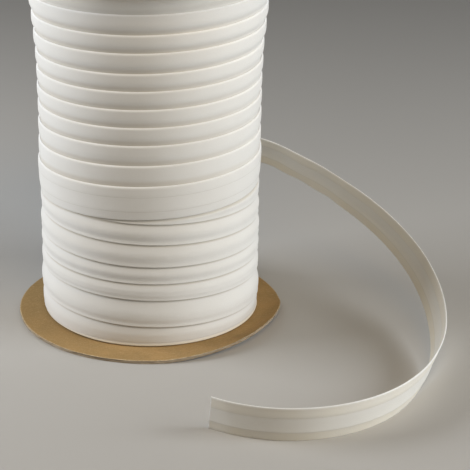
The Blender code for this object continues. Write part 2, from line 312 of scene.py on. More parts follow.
def closed_strip(name, rings, along, across, marks, material):
    """A closed strip of cloth through rings of points, with a UV map in metres along and across it.

    Each mark is a number at every point that the finish reads, such as how worn the cloth is there.
    """
    columns, count = rings.shape[:2]
    index = np.arange(columns * count).reshape(columns, count)
    left, right = index[:-1], index[1:]
    quads = np.stack(
        [left, right, np.roll(right, -1, axis=1), np.roll(left, -1, axis=1)], axis=-1
    ).reshape(-1, 4)
    faces = [*quads.tolist(), index[0].tolist(), index[-1][::-1].tolist()]
    mesh = bpy.data.meshes.new(name)
    mesh.from_pydata(rings.reshape(-1, 3).tolist(), [], faces)
    corner = np.zeros(len(mesh.loops), dtype=np.int32)
    mesh.loops.foreach_get("vertex_index", corner)
    places = np.stack([np.broadcast_to(along, (columns, count)), across], axis=-1).reshape(-1, 2)
    layer = mesh.uv_layers.new(name="tape")
    layer.data.foreach_set("uv", places[corner].astype(np.float32).ravel())
    for key, values in marks.items():
        values = np.broadcast_to(values, (columns, count)).astype(np.float32).ravel()
        mesh.attributes.new(key, "FLOAT", "POINT").data.foreach_set("value", values)
    mesh.shade_smooth()

    # Both ends are cut square, so the shading breaks round them.
    ring = np.zeros(len(mesh.edges) * 2, dtype=np.int32)
    mesh.edges.foreach_get("vertices", ring)
    ring = ring.reshape(-1, 2) // count
    at_end = (ring == 0).all(axis=1) | (ring == columns - 1).all(axis=1)
    mesh.edges.foreach_set("use_edge_sharp", at_end)
    mesh.materials.append(material)
    piece = bpy.data.objects.new(name, mesh)
    bpy.context.scene.collection.objects.link(piece)
    face_outwards(piece)
    return piece


def face_outwards(piece):
    """Turn every face of a closed piece outwards."""
    only(piece)
    bpy.ops.object.mode_set(mode="EDIT")
    bpy.ops.mesh.select_all(action="SELECT")
    bpy.ops.mesh.normals_make_consistent(inside=False)
    bpy.ops.object.mode_set(mode="OBJECT")


def only(piece):
    """Select one piece and nothing else."""
    bpy.ops.object.select_all(action="DESELECT")
    piece.select_set(True)
    bpy.context.view_layer.objects.active = piece


def belongs(piece, node):
    """Tie a finished piece to the frame."""
    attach(piece, "root")
    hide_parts(node)
    return piece


def tuck(height):
    """How far the winding turns in beside each disc."""
    foot = np.interp(height, FOOT[:, 0], FOOT[:, 1])
    shoulder = np.interp(height, SHOULDER[:, 0], SHOULDER[:, 1])
    return foot + shoulder


def wrap_radius(turn, below):
    """Outer radius of the full-width wrap at a distance below its upper edge."""
    return turn_value(UPPER_TURNS, CROWN, turn) + read(WRAP_FACE, below)


def upper_rings(settings):
    """The layer that comes down over the first, from its full-width wrap up to the upper disc."""
    per_turn, width = settings.columns_per_turn, settings.tape_width / MM
    turn = np.arange(TAPE_END_TURN, UPPER_LAST_TURN, 1.0 / per_turn)
    angle = 2.0 * math.pi * turn
    edge = turn_edge(UPPER_TURNS, turn, angle)
    pitch = np.maximum(edge - turn_edge(UPPER_TURNS, turn - 1.0, angle), 0.05)
    covered = ease(turn, TAPE_END_TURN + 1.0, TAPE_END_TURN + 1.08)
    extent = mix(width, np.minimum(pitch + LAP, width), covered)
    thickness, fold = settings.edge_thickness / MM, settings.fold_height / MM
    upper_fold, lower_fold = (0.82 * thickness, 0.93 * fold), (0.6 * thickness, 0.3 * fold)
    below, depth = tape_section(extent, thickness, upper_fold, lower_fold, 20)

    crown = turn_value(UPPER_TURNS, CROWN, turn)[:, None]
    crown = crown + 0.1 * np.sin(3.7 * turn + 0.6)[:, None]
    next_crown = turn_value(UPPER_TURNS, CROWN, turn - 1.0)[:, None]
    floor = next_crown - UNDER_UPPER
    fading = ease(turn, UPPER_LAST_TURN - 0.5, UPPER_LAST_TURN)[:, None]
    share = np.maximum(read(UPPER_FACE, below / pitch[:, None]), fading)
    turn_face = mix(crown, floor, share)
    wrap_face = wrap_radius(turn[:, None], below)
    height = edge[:, None] - below
    radius = mix(wrap_face, turn_face, covered[:, None]) - depth - tuck(height)
    rings = on_roll(radius * MM, angle[:, None], height * MM)
    along = (angle * UPPER_RADIUS * MM)[:, None]

    # Painted shade in the crevices between turns: strongest at the front, weaker towards the sides and
    # in the top turns.
    low = pitch[:, None]
    shaded = np.maximum(0.24 + 0.4 * np.cos(angle + 0.45), 0.1) * covered
    shaded = shaded * (1.0 - 0.5 * ease(turn, 9.2, 9.7))
    marks = {
        "pressed": 1.0 - 0.9 * covered[:, None],
        "painted_crevice_shade": shaded[:, None] * ease(below, low - 5.0, low - 1.6),
        # Painted warm light on the top turn, in the shade under the upper card.
        "foot": 0.3 * ease(height, 248.0, 258.0),
        # The pale folded upper edge is a painted highlight.
        "wear_and_highlight": 1.0 - ease(below, 0.3, 1.2),
    }
    return rings, along, below * MM, marks


def lower_rings(settings):
    """The layer that climbs clockwise, from the lower disc until the upper layer hides it."""
    per_turn, width = settings.columns_per_turn, settings.tape_width / MM
    turn = np.arange(LOWER_FIRST_TURN, LOWER_LAST_TURN, 1.0 / per_turn)
    angle = -2.0 * math.pi * turn
    edge = turn_edge(LOWER_TURNS, turn, angle)
    pitch = np.maximum(turn_edge(LOWER_TURNS, turn + 1.0, angle) - edge, 0.05)
    extent = np.minimum(pitch + LAP, width)
    thickness = settings.cloth_thickness / MM
    fold = (0.5 * thickness, 0.3 * settings.fold_height / MM)
    down, depth = tape_section(extent, thickness, fold, fold, 28)
    above = extent[:, None] - down

    crown = turn_value(LOWER_TURNS, CROWN, turn)[:, None]
    crown = crown + 0.1 * np.sin(4.1 * turn + 2.0)[:, None]
    # The hollows are deepest at the front and fade towards the back.
    round_roll = 0.52 + 0.44 * np.cos(angle) - 0.1 * np.sin(angle) + 0.08 * np.sin(3.1 * turn)
    hollow = turn_value(LOWER_TURNS, HOLLOW, turn) * np.maximum(round_roll, 0.2)
    hollow_height = turn_value(LOWER_TURNS, HOLLOW_HEIGHT, turn)[:, None]
    crown_face = crown + hollow[:, None] * read(LOWER_FACE, above / hollow_height)
    next_crown = turn_value(LOWER_TURNS, CROWN, turn + 1.0)[:, None]
    dive = ease(above, np.minimum(8.0, 0.5 * pitch[:, None]), 1.06 * pitch[:, None])
    starting = 1.0 - ease(turn, LOWER_FIRST_TURN, LOWER_RISEN_TURN)[:, None]
    face = mix(crown_face, next_crown - UNDER_LOWER, np.maximum(dive, starting))
    height = edge[:, None] + above

    # Under the full-width wrap the lower layer lies no further out than the wrap's inner face. It stays
    # pressed in for a short way past the place where the loose end leaves the roll.
    full = np.mod(angle / (2.0 * math.pi) - TAPE_END_TURN, 1.0) + TAPE_END_TURN
    leaving = ease(full - 1.0, TAPE_END_TURN - 0.1, TAPE_END_TURN - 0.02)
    for wrap_turn, pressed in ((full - 1.0, leaving), (full, np.ones(len(full)))):
        wrap_top = turn_edge(UPPER_TURNS, wrap_turn, angle)[:, None]
        wrap_foot = wrap_top - width
        under = np.clip(wrap_top - height, 0.0, width)
        limit = wrap_radius(wrap_turn[:, None], under) - settings.edge_thickness / MM - WRAP_CLEARANCE
        hidden = ease(height, wrap_foot - WRAP_SINK, wrap_foot - WRAP_PRESSED) * pressed[:, None]
        face = mix(face, np.minimum(face, limit), hidden)

    radius = face - depth - tuck(height)
    rings = on_roll(radius * MM, angle[:, None], height * MM)
    along = (angle * LOWER_RADIUS * MM)[:, None]

    # Painted shade lies between the turns, under the wrap's foot and in the fine line above the card.
    painted_crevice_shade = ease(above, pitch[:, None] - 2.2, pitch[:, None] - 0.6)
    painted_crevice_shade = np.maximum(painted_crevice_shade, ease(height, wrap_foot - WRAP_SINK, wrap_foot - 0.4))
    foot_line = 0.45 * np.maximum(1.0 - abs(height - FOOT_LINE) / FOOT_LINE_REACH, 0.0)
    marks = {
        "pressed": np.array([[0.1]]),
        "painted_crevice_shade": np.maximum(painted_crevice_shade, foot_line),
        # Painted warm light bounced from the lower card, on the strip below the fine line.
        "foot": 1.0 - ease(height, FOOT_LINE - FOOT_LINE_REACH, FOOT_LINE),
    }
    return rings, along, (width - above) * MM, marks


def loose_stations(count):
    """Lower edge of the loose end as a smooth curve, with its leans, at even steps along it."""
    angle = 2.0 * math.pi * TAPE_END_TURN
    foot = turn_edge(UPPER_TURNS, TAPE_END_TURN, angle) - TAPE_WIDTH
    start = on_roll(LOOSE_START_RADIUS, angle, foot)
    values = np.array([(*start, 0.0), *LOOSE_END])
    steps = np.linalg.norm(np.diff(values[:, :3], axis=0), axis=1)
    places = np.concatenate([[0.0], np.cumsum(steps)])
    at = np.linspace(0.0, places[-1], count)
    points = np.stack([smooth_between(places, values[:, i], at) for i in range(3)], axis=1)
    points[:, 2] = np.maximum(points[:, 2], 0.0)
    return at, points, np.radians(smooth_between(places, values[:, 3], at))


def loose_rings(settings):
    """The tape that has come off the roll, standing on its lower edge at the front."""
    width = settings.tape_width / MM
    at, points, leans = loose_stations(settings.loose_columns)
    tangent = np.gradient(points, axis=0)
    tangent /= np.linalg.norm(tangent, axis=1)[:, None]
    outward = np.cross((0.0, 0.0, 1.0), tangent)
    outward /= np.linalg.norm(outward, axis=1)[:, None]
    upright = np.cross(tangent, outward)
    upright *= np.sign(upright[:, 2:3])
    upright = mix(np.array([[0.0, 0.0, 1.0]]), upright, ease(at, 0.0, 30.0)[:, None])
    cos, sin = np.cos(leans)[:, None], np.sin(leans)[:, None]
    rise = upright * cos + outward * sin
    face_out = outward * cos - upright * sin

    outer_rows = np.concatenate([
        [0.9],
        np.arange(2.0, 17.6, 1.3),
        [18.2, 18.8, 19.5, 20.4, 21.6, 22.9, 24.1],
    ])
    inner_rows = np.concatenate([
        [24.3, 21.0, 18.2, 17.6, 17.0, 16.4],
        np.arange(14.0, 8.9, -1.7),
        [8.4, 7.9, 7.3, 4.0, 1.1],
    ])
    # Half the thickness at each fold, and where the middle of the lower one lies.
    half, low_half, low_middle = 0.57, 0.3, -0.72
    turned = fold_angles(0.0, 72.0, 4)
    lower = fold_angles(60.0, -60.0, 5)
    inner = fold_angles(-72.0, -24.0, 3)
    fold = 0.65 * settings.fold_height / MM
    down = np.concatenate([
        fold * (1.0 - np.cos(turned)),
        outer_rows,
        width - fold * (1.0 - np.cos(lower)),
        inner_rows,
        fold * (1.0 - np.cos(inner)),
    ])
    offset = np.concatenate([
        half * np.sin(turned),
        read(LOOSE_OUTER, outer_rows),
        low_middle + low_half * np.sin(lower),
        -read(LOOSE_INNER, inner_rows),
        half * np.sin(inner),
    ])
    share = 1.0 - down / width
    slant = CUT_SLANT * ease(at, at[-1] - CUT_SLANT_REACH, at[-1])[:, None]

    # Near the roll the tape still has the set of the full-width wrap that it comes from.
    crown = turn_value(UPPER_TURNS, CROWN, TAPE_END_TURN) - LOOSE_START_RADIUS
    half_cloth = 0.5 * settings.edge_thickness / MM
    side = np.concatenate([
        np.sin(turned),
        np.ones(len(outer_rows)),
        np.sin(lower),
        -np.ones(len(inner_rows)),
        np.sin(inner),
    ])
    wrapped = crown + read(WRAP_FACE, down) + (side - 1.0) * half_cloth
    offset = mix(wrapped[None, :], offset[None, :], ease(at, 0.0, 40.0)[:, None])
    for place, across, half_length, depth in DENTS:
        u = (at[:, None] - place) / half_length
        v = (share[None, :] - across) / 0.45
        offset = offset + depth * np.exp(-u * u - v * v)
    ripple = 0.45 * np.sin(at / 4.4) * ease(at, 92.0, 110.0) * (1.0 - ease(at, 170.0, 190.0))
    offset = offset + ripple[:, None] * ease(down, 15.0, width)[None, :]

    # The cloth's ribs make both folds finely notched.
    notch = np.where(np.arange(len(at)) % 2 == 0, 0.07, -0.07)[:, None]
    notch = notch * (0.6 + 0.4 * np.sin(at * 0.37 + np.sin(at * 0.11)))[:, None]
    at_fold = np.maximum(1.0 - down / 0.9, 0.0) - np.maximum(1.0 - (width - down) / 0.9, 0.0)
    up = width * share[None, :] + notch * at_fold[None, :]

    rings = (
        points[:, None, :]
        + rise[:, None, :] * up[..., None]
        + face_out[:, None, :] * offset[..., None]
        - tangent[:, None, :] * (slant * share[None, :])[..., None]
    )
    rings[..., 2] = np.maximum(rings[..., 2], 0.02)
    cut = ease(at, at[-1] - 1.1, at[-1] - 0.4)[:, None]
    marks = {
        "pressed": np.array([[1.0]]),
        # The folded upper edge is made pale as a painted highlight, and the cut end is paler as well.
        "wear_and_highlight": np.maximum(1.0 - ease(down, 0.3, 1.2), cut),
        "loose": ease(at, 0.0, 60.0)[:, None],
    }
    return rings * MM, at[:, None] * MM, np.broadcast_to(down, rings.shape[:2]) * MM, marks


# Finishes

class Finish:
    """A material with a short way to add and join its nodes."""

    def __init__(self, name):
        self.material = bpy.data.materials.new(name)
        self.material.use_nodes = True
        self.tree = self.material.node_tree
        self.shader = self.tree.nodes["Principled BSDF"]

    def node(self, kind, inputs=None, **settings):
        """Add a node. An input's value is a number, a colour or another node's output."""
        made = self.tree.nodes.new("ShaderNode" + kind)
        for key, value in settings.items():
            setattr(made, key, value)
        for key, value in (inputs or {}).items():
            if isinstance(value, bpy.types.NodeSocket):
                self.tree.links.new(value, made.inputs[key])
            else:
                made.inputs[key].default_value = value
        return made

    def math(self, operation, first, second=0.0, clamp=False):
        """The output of a Math node."""
        made = self.node("Math", {0: first, 1: second}, operation=operation, use_clamp=clamp)
        return made.outputs[0]

    def tint(self, base, tint, share):
        """The output of a colour Mix node."""
        made = self.node("Mix", {0: share, 6: base, 7: tint}, data_type="RGBA")
        return made.outputs[2]

    def range(self, value, low, high, first, last, smooth=False):
        """The output of a Map Range node."""
        made = self.node("MapRange", {0: value, 1: low, 2: high, 3: first, 4: last})
        if smooth:
            made.interpolation_type = "SMOOTHSTEP"
        return made.outputs[0]

    def set(self, **values):
        """Set the shader's own sockets."""
        for key, value in values.items():
            self.shader.inputs[key.replace("_", " ")].default_value = value


def line_at(finish, across, place, half_width):
    """1 on a line along the tape at a distance from its upper edge, fading to 0 beside it."""
    away = finish.math("ABSOLUTE", finish.math("SUBTRACT", across, place * MM))
    return finish.range(away, 0.0, half_width * MM, 1.0, 0.0, smooth=True)


def tape_finish(settings):
    """Matt off-white cotton cut on the bias, warmer where a loose end's folded edges make it double."""
    finish = Finish("bias_tape")
    place = finish.node("UVMap", uv_map="tape").outputs[0]
    split = finish.node("SeparateXYZ", {0: place})
    across = split.outputs[1]
    spot = finish.node("TexCoord").outputs["Object"]

    # On the loose end the cloth is double along both folds and single between them.
    loose = finish.node("Attribute", attribute_name="loose").outputs["Fac"]
    upper = finish.range(across, 6.8 * MM, 9.4 * MM, 1.0, 0.0, smooth=True)
    lower = finish.range(across, 17.8 * MM, 19.6 * MM, 0.0, 1.0, smooth=True)
    colour = finish.tint(tuple(settings.wound_colour), tuple(settings.single_colour), loose)
    colour = finish.tint(colour, tuple(settings.double_colour), finish.math("MULTIPLY", upper, loose))
    # The lower fold is double cloth; its darker, warmer tone is painted shade near the floor.
    colour = finish.tint(colour, tuple(settings.lower_fold_and_shade_colour), finish.math("MULTIPLY", lower, loose))

    soft = finish.node("TexNoise", {"Vector": spot, "Scale": 42.0, "Detail": 4.0, "Roughness": 0.55})
    patches = finish.range(soft.outputs["Fac"], 0.35, 0.68, 0.0, 1.0)
    colour = finish.tint(colour, tuple(settings.aged_colour), finish.math("MULTIPLY", patches, 0.4))
    upper_line = line_at(finish, across, 8.1, 0.45)
    lower_line = line_at(finish, across, 18.9, 0.5)
    fold_line = finish.math("ADD", upper_line, lower_line)
    pressed = finish.node("Attribute", attribute_name="pressed").outputs["Fac"]
    fold_line = finish.math("MULTIPLY", fold_line, pressed, clamp=True)
    # Painted shade darkens the tape along its two pressed lines.
    shade = finish.math("MULTIPLY", fold_line, 0.22)
    colour = finish.tint(colour, tuple(settings.crease_shade_colour), shade)

    # The folded upper edge and the cut end are made pale, the folded edge as a painted highlight.
    # Painted shade darkens the crevices between turns, and painted warm light from the card tints the
    # foot.
    for key, tone, most in (
        ("wear_and_highlight", settings.edge_highlight_colour, 0.95),
        ("foot", settings.card_bounce_colour, 0.8),
        ("painted_crevice_shade", settings.painted_crevice_shade_colour, 0.85),
    ):
        share = finish.node("Attribute", attribute_name=key).outputs["Fac"]
        colour = finish.tint(colour, tuple(tone), finish.math("MULTIPLY", share, most))

    # Threads run at 45 degrees to the tape because it is cut on the bias.
    ribs = []
    for turn in (45.0, -45.0):
        turned = finish.node("Mapping", {"Vector": place, "Rotation": (0.0, 0.0, math.radians(turn))})
        wave = finish.node(
            "TexWave",
            {"Vector": turned.outputs[0], "Scale": 314.0 / settings.thread_pitch * MM,
             "Distortion": 0.6, "Detail": 2.0, "Detail Scale": 1.4},
        )
        ribs.append(wave.outputs["Fac"])
    weave = finish.math("MULTIPLY", ribs[0], ribs[1])
    slub = finish.node("TexNoise", {"Vector": place, "Scale": 900.0, "Detail": 2.0})
    weave = finish.math("ADD", finish.math("MULTIPLY", weave, 0.7), slub.outputs["Fac"])
    colour = finish.tint(colour, THREAD_GAP, finish.range(weave, 0.3, 0.75, 0.08, 0.0))
    finish.tree.links.new(colour, finish.shader.inputs["Base Color"])

    threads = finish.node("Bump", {"Height": weave, "Strength": 0.22, "Distance": 0.12 * MM})
    creased = finish.node(
        "Bump",
        {"Height": finish.math("SUBTRACT", 1.0, fold_line), "Strength": 0.5, "Distance": 0.2 * MM,
         "Normal": threads.outputs[0]},
    )
    finish.tree.links.new(creased.outputs[0], finish.shader.inputs["Normal"])
    finish.set(Roughness=0.82, Sheen_Weight=0.12, Sheen_Roughness=0.5, Specular_IOR_Level=0.3)
    return finish.material


def card_finish(settings):
    """Brown kraft card: mottled, full of short fibres, paler and greyer where its edge is cut."""
    finish = Finish("kraft_card")
    spot = finish.node("TexCoord").outputs["Object"]
    cloud = finish.node("TexNoise", {"Vector": spot, "Scale": 55.0, "Detail": 6.0, "Roughness": 0.62})
    grain = finish.node("TexNoise", {"Vector": spot, "Scale": 900.0, "Detail": 3.0, "Roughness": 0.6})
    colour = finish.tint(
        tuple(settings.card_colour),
        tuple(settings.dark_mottle_and_shade_colour),
        finish.range(cloud.outputs["Fac"], 0.36, 0.68, 0.1, 0.75),
    )
    across = finish.node("SeparateXYZ", {0: spot}).outputs[0]
    # Painted shade: the card is darker towards its left side, at -X.
    painted_side_shade = finish.range(across, -95.0 * MM, -10.0 * MM, 0.55, 0.0, smooth=True)
    colour = finish.tint(colour, tuple(settings.dark_mottle_and_shade_colour), painted_side_shade)
    flecks = finish.range(grain.outputs["Fac"], 0.5, 0.72, 0.0, 0.55)
    colour = finish.tint(colour, tuple(settings.card_pale_colour), flecks)

    # Two sets of short fibres, long one way and thin the other.
    fibres = []
    for turn, seed in ((18.0, 0.0), (-52.0, 4.3)):
        laid = finish.node(
            "Mapping",
            {"Vector": spot, "Rotation": (0.0, 0.0, math.radians(turn)), "Location": (seed, seed, 0.0),
             "Scale": (260.0, 2300.0, 900.0)},
        )
        hair = finish.node("TexNoise", {"Vector": laid.outputs[0], "Scale": 1.0, "Detail": 2.0})
        fibres.append(finish.range(hair.outputs["Fac"], 0.6, 0.74, 0.0, 1.0))
    dark = finish.math("MULTIPLY", fibres[0], 0.4)
    pale = finish.math("MULTIPLY", fibres[1], 0.35)
    colour = finish.tint(colour, DARK_FIBRE, dark)
    colour = finish.tint(colour, PALE_FIBRE, pale)

    # The rim is worn pale, and the cut edge shows greyer layers.
    rim = finish.node("Attribute", attribute_name="rim").outputs["Fac"]
    cut = finish.node("Attribute", attribute_name="cut").outputs["Fac"]
    stretched = finish.node("Mapping", {"Vector": spot, "Scale": (120.0, 120.0, 2600.0)})
    layers = finish.node("TexNoise", {"Vector": stretched.outputs[0], "Scale": 1.0, "Detail": 3.0})
    darker_layers = finish.range(layers.outputs["Fac"], 0.42, 0.66, 0.0, 0.8)
    edge_colour = finish.tint(tuple(settings.cut_colour), CUT_LAYER, darker_layers)
    colour = finish.tint(colour, edge_colour, cut)
    fray = finish.node("TexNoise", {"Vector": spot, "Scale": 380.0, "Detail": 4.0, "Roughness": 0.6})
    wear_and_highlight = finish.math("MULTIPLY", rim, finish.range(cloud.outputs["Fac"], 0.3, 0.55, 0.35, 0.85))
    wear_and_highlight = finish.math("MULTIPLY", wear_and_highlight, finish.range(fray.outputs["Fac"], 0.38, 0.6, 0.25, 1.1))
    colour = finish.tint(colour, WORN_RIM, wear_and_highlight)
    finish.tree.links.new(colour, finish.shader.inputs["Base Color"])

    height = finish.math("ADD", grain.outputs["Fac"], finish.math("MULTIPLY", fibres[1], 0.5))
    layered = finish.math("MULTIPLY", layers.outputs["Fac"], finish.math("MULTIPLY", cut, 2.0))
    height = finish.math("ADD", height, layered)
    bump = finish.node("Bump", {"Height": height, "Strength": 0.35, "Distance": 0.18 * MM})
    finish.tree.links.new(bump.outputs[0], finish.shader.inputs["Normal"])
    finish.set(Roughness=0.88, Specular_IOR_Level=0.25)
    return finish.material


def plain_finish(name, colour, roughness):
    """A matt studio surface with a trace of unevenness."""
    finish = Finish(name)
    spot = finish.node("TexCoord").outputs["Object"]
    soft = finish.node("TexNoise", {"Vector": spot, "Scale": 3.0, "Detail": 2.0})
    darker = tuple(0.97 * c for c in colour[:3]) + (1.0,)
    uneven = finish.tint(tuple(colour), darker, soft.outputs["Fac"])
    finish.tree.links.new(uneven, finish.shader.inputs["Base Color"])
    finish.set(Roughness=roughness, Specular_IOR_Level=0.2)
    return finish.material


# Card discs

def rim_lift(radius, angle):
    """How far the lower disc is bent up at points of it."""
    degrees = np.mod(np.degrees(angle), 360.0)
    reach = np.clip((radius - BEND_START_RADIUS) / (DISC_RADIUS - BEND_START_RADIUS), 0.0, 1.2)
    inside = (degrees > RIM_BEND[0, 0]) & (degrees < RIM_BEND[-1, 0])
    return np.where(inside, np.maximum(read(RIM_BEND, degrees), 0.0), 0.0) * reach ** 1.5


def pick(piece, keep, mode):
    """In edit mode, select only the faces or edges that pass a test."""
    bpy.ops.mesh.select_mode(type=mode)
    bpy.ops.mesh.select_all(action="DESELECT")
    bm = bmesh.from_edit_mesh(piece.data)
    items = bm.faces if mode == "FACE" else bm.edges
    found = [item for item in items if keep(item)]
    if not found:
        raise RuntimeError(f"{piece.name}: nothing was selected")
    for item in found:
        item.select_set(True)
    bm.select_flush_mode()
    bmesh.update_edit_mesh(piece.data)


def plain_disc(name, low, settings):
    """A disc with a rounded rim, rings of faces inside it and rows of faces round its edge."""
    radius, thickness = settings.disc_radius, settings.disc_thickness
    bpy.ops.object.select_all(action="DESELECT")
    bpy.ops.mesh.primitive_cylinder_add(
        vertices=settings.disc_sides, radius=radius, depth=thickness,
        location=(0.0, 0.0, low + 0.5 * thickness),
    )
    disc = bpy.context.object
    disc.name = disc.data.name = name
    bpy.ops.object.transform_apply(location=True, rotation=False, scale=False)
    bpy.ops.object.mode_set(mode="EDIT")
    pick(disc, lambda edge: abs(edge.verts[0].co.z - edge.verts[1].co.z) < 1e-6, "EDGE")
    bpy.ops.mesh.bevel(offset=0.35 * MM, segments=2, affect="EDGES")
    pick(disc, lambda face: abs(face.normal.z) > 0.99 and len(face.verts) > 8, "FACE")
    for step in DISC_RINGS:
        bpy.ops.mesh.inset(thickness=step * MM, use_even_offset=False)
    pick(disc, lambda edge: abs(edge.verts[0].co.z - edge.verts[1].co.z) > 0.5 * thickness, "EDGE")
    bpy.ops.mesh.subdivide(number_cuts=9)
    bpy.ops.object.mode_set(mode="OBJECT")
    return disc


def worn_away(angle, level, outer, torn, seed):
    """How far in the cut edge is worn at points of it: uneven, open between the plies, and torn."""
    degrees = np.degrees(angle)
    split = 0.25 + 0.75 * ease(-degrees, 5.0, 25.0) * (1.0 - ease(-degrees, 80.0, 110.0))
    inwards = np.zeros(len(angle))
    for i in np.flatnonzero(outer > 0.0):
        x, y, z = math.sin(angle[i]), math.cos(angle[i]), level[i]
        slow = noise.noise((6.0 * x, 6.0 * y, 3.0 + 1.3 * seed))
        layer = noise.noise((22.0 * x, 22.0 * y, 9.0 * z + seed))
        fine = noise.noise((95.0 * x, 95.0 * y, 5.0 * z + seed))
        gap = math.exp(-((z - 0.56) / 0.12) ** 2) * split[i] * (0.6 + 0.5 * slow)
        inwards[i] = (
            0.12 + 0.3 * slow + (0.16 + 0.3 * torn[i]) * layer
            + (0.1 + 0.7 * torn[i]) * fine + 1.3 * gap
        )
    return inwards


def card_disc(name, low, settings, bent):
    """A disc of two plies of card with an uneven cut edge. The bent one has a lifted, torn rim."""
    disc = plain_disc(name, low, settings)
    radius, thickness = settings.disc_radius / MM, settings.disc_thickness
    mesh = disc.data
    co = np.zeros(len(mesh.vertices) * 3)
    mesh.vertices.foreach_get("co", co)
    co = co.reshape(-1, 3)
    angle = np.arctan2(co[:, 0], -co[:, 1])
    reach = np.hypot(co[:, 0], co[:, 1]) / MM
    level = (co[:, 2] - low) / thickness
    outer = ease(reach, radius - 1.2, radius - 0.3)
    degrees = np.degrees(angle)
    torn = np.zeros(len(co))
    if bent:
        torn = ease(degrees, 12.0, 30.0) * (1.0 - ease(degrees, 70.0, 95.0))
    inwards = worn_away(angle, level, outer, torn, low / MM)
    if bent:
        notch = np.exp(-((degrees - 5.6) / 0.55) ** 2) * ease(level, 0.4, 0.8)
        inwards += 0.9 * notch * outer
    shrink = 1.0 - np.maximum(inwards, 0.0) * outer / np.maximum(reach, 1.0)
    co[:, 0] *= shrink
    co[:, 1] *= shrink
    if bent:
        wave = 0.12 * np.sin(3.0 * angle + 0.7) * ease(reach, 60.0, 98.0) * ease(level, 0.5, 1.0)
        co[:, 1] -= DISC_SHIFT * MM
        co[:, 2] += (rim_lift(reach, angle) + wave) * MM
        co[:, 2] += 0.3 * torn * outer * (1.0 - level) * thickness
    mesh.vertices.foreach_set("co", co.ravel())

    side = ease(reach, radius - 0.32, radius - 0.05)
    side = side * ease(level, 0.0, 0.12) * (1.0 - ease(level, 0.9, 1.0))
    corner = np.maximum(ease(level, 0.84, 0.97), 1.0 - ease(level, 0.03, 0.16))
    rim = ease(reach, radius - 1.0, radius - 0.2) * corner
    for key, values in (("cut", side), ("rim", rim)):
        mesh.attributes.new(key, "FLOAT", "POINT").data.foreach_set("value", values.astype(np.float32))
    mesh.shade_smooth()
    mesh.set_sharp_from_angle(angle=math.radians(40.0))
    mesh.update()
    face_outwards(disc)
    return disc


# Settings

def colour_setting(name, description, value):
    """A colour property. Its description says where the colour shows."""
    return bpy.props.FloatVectorProperty(
        name=name, description=description, default=(*value, 1.0),
        size=4, subtype="COLOR", min=0.0, max=1.0,
    )


def length_setting(name, description, value):
    """A length property, given in millimetres."""
    return bpy.props.FloatProperty(
        name=name, description=description, default=value * MM, unit="LENGTH", min=0.0
    )


def power_setting(name, description, value):
    """A lamp's power in watts."""
    return bpy.props.FloatProperty(
        name=name, description=description, default=value, unit="POWER", min=0.0
    )


def count_setting(name, description, value, least):
    """A whole number property."""
    return bpy.props.IntProperty(name=name, description=description, default=value, min=least)


class TapeSettings(bpy.types.PropertyGroup):
    """Sizes and colours of the tape."""

    tape_width: length_setting("Tape width", "Width of the folded tape", TAPE_WIDTH)
    cloth_thickness: length_setting("Tape thickness", "Thickness of the lower layer's tape", 0.9)
    edge_thickness: length_setting("Edge thickness", "Thickness of the upper layer's tape", 1.25)
    fold_height: length_setting("Fold height", "Height of the rounding at each folded edge", 1.4)
    thread_pitch: length_setting("Thread pitch", "Distance between threads of the cloth", 0.42)
    columns_per_turn: count_setting("Columns a turn", "Columns of faces in each turn", 176, 24)
    loose_columns: count_setting("Loose end columns", "Columns of faces along it", 1480, 80)
    single_colour: colour_setting("Single cloth", "Loose tape, one layer", (0.8, 0.772, 0.71))
    double_colour: colour_setting("Upper fold", "Loose tape, upper fold", (0.82, 0.773, 0.675))
    # Double cloth of the lower fold, with painted shade near the floor.
    lower_fold_and_shade_colour: colour_setting("Lower fold", "Loose tape, lower fold", (0.8, 0.743, 0.625))
    # Painted warm light bounced from the cards onto the foot and the top turn.
    card_bounce_colour: colour_setting("Foot", "Tape beside the lower card", (0.84, 0.75, 0.58))
    wound_colour: colour_setting("Wound cloth", "Tape on the roll", (0.81, 0.793, 0.757))
    aged_colour: colour_setting("Aged cloth", "Soft yellowed patches", (0.78, 0.755, 0.71))
    # Painted shade along the pressed lines.
    crease_shade_colour: colour_setting("Crease", "Pressed lines along the tape", (0.5, 0.46, 0.39))
    # Painted shade between the turns.
    painted_crevice_shade_colour: colour_setting("Crevice", "Painted shade between the turns", (0.56, 0.5, 0.41))
    # Painted highlight on the folded upper edge; the cut end is made pale with it too.
    edge_highlight_colour: colour_setting("Worn edge", "Folded upper edge", (0.93, 0.92, 0.9))


class CardSettings(bpy.types.PropertyGroup):
    """Sizes and colours of the card discs."""

    disc_radius: length_setting("Disc radius", "Radius of both card discs", DISC_RADIUS)
    disc_thickness: length_setting("Disc thickness", "Thickness of the card", 2.5)
    disc_sides: count_setting("Disc sides", "Faces round the rim of a disc", 540, 64)
    card_colour: colour_setting("Card", "Most of the card", (0.44, 0.275, 0.112))
    # Mottle clouds, and also the painted shade on the card's left side.
    dark_mottle_and_shade_colour: colour_setting("Dark mottle", "Clouds in the card", (0.3, 0.203, 0.085))
    card_pale_colour: colour_setting("Pale mottle", "Flecks in the card", (0.52, 0.35, 0.17))
    cut_colour: colour_setting("Cut edge", "Greyer cut edge of the card", (0.43, 0.35, 0.25))


class StudioSettings(bpy.types.PropertyGroup):
    """Floor, lights and camera."""

    floor_colour: colour_setting("Floor", "Plain floor", (0.52, 0.507, 0.485))
    left_light: power_setting("Left light", "Power of the left light", 12.9)
    right_light: power_setting("Right light", "Power of the right light", 24.5)
    top_light: power_setting("Top light", "Power of the high front light", 4.2)
    surround: bpy.props.FloatProperty(
        name="Surround", description="Brightness of the room", default=0.01, min=0.0
    )
    focal_length: bpy.props.FloatProperty(
        name="Focal length", description="Camera lens", default=139.6,
        subtype="DISTANCE_CAMERA", min=1.0,
    )


